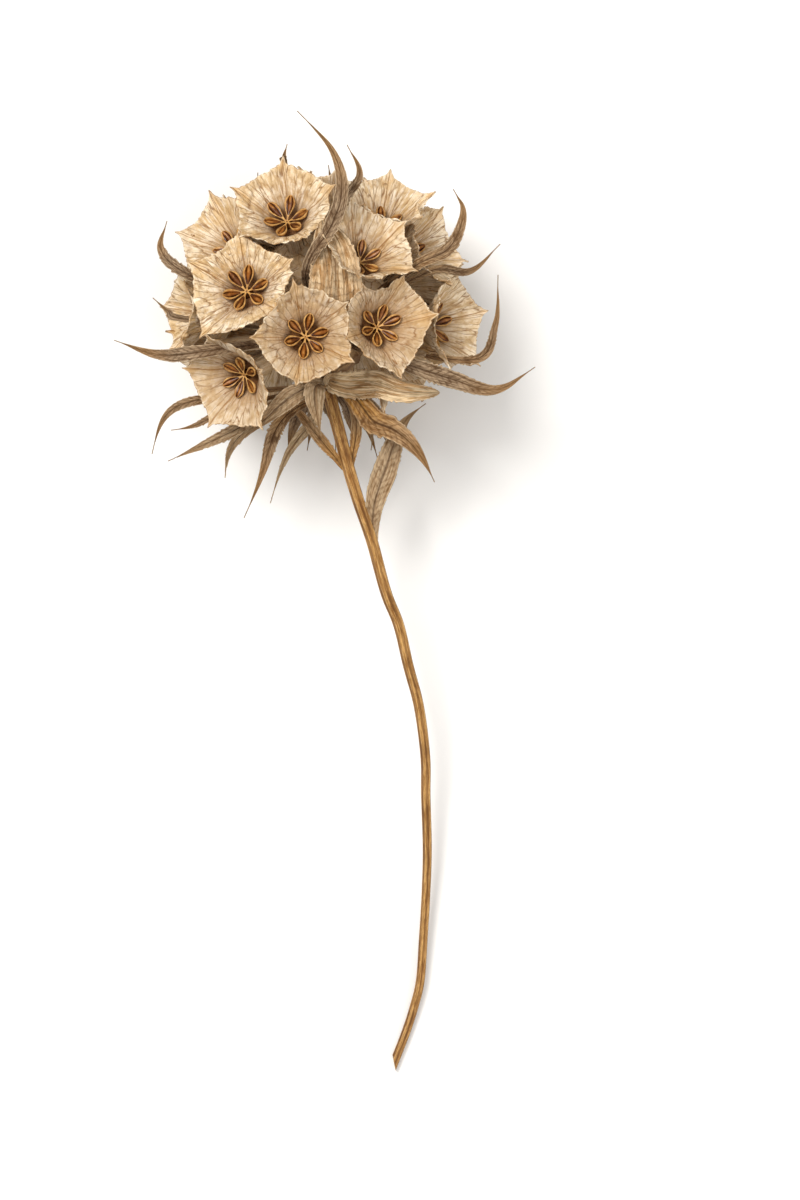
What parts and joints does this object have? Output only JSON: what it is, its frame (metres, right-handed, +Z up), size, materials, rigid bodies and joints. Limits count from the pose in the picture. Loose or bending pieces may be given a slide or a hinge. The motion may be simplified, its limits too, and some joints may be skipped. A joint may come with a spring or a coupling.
{
  "type": "dried scabious seed head",
  "caption": "Dried scabious seed head on a cut stem: a globe of papery flared cups with brown stars inside, slender toothed bracts between and below them, and narrow leaves on the stem.",
  "frame": {"origin": "middle of the object's footprint, on the surface that it lies on", "axes": "+Z up from the surface, +Y along the length from the cut end of the stem to the top of the head"},
  "size_m": [0.0834, 0.192, 0.0583],
  "materials": {
    "papery_cream": "matte",
    "dry_grey_brown": "matte",
    "straw_golden_brown": "satin"
  },
  "bodies": {
    "root": {"seed_head": "papery_cream", "bract_whorl": "dry_grey_brown", "leafy_stem": "straw_golden_brown"}
  },
  "joints": []
}
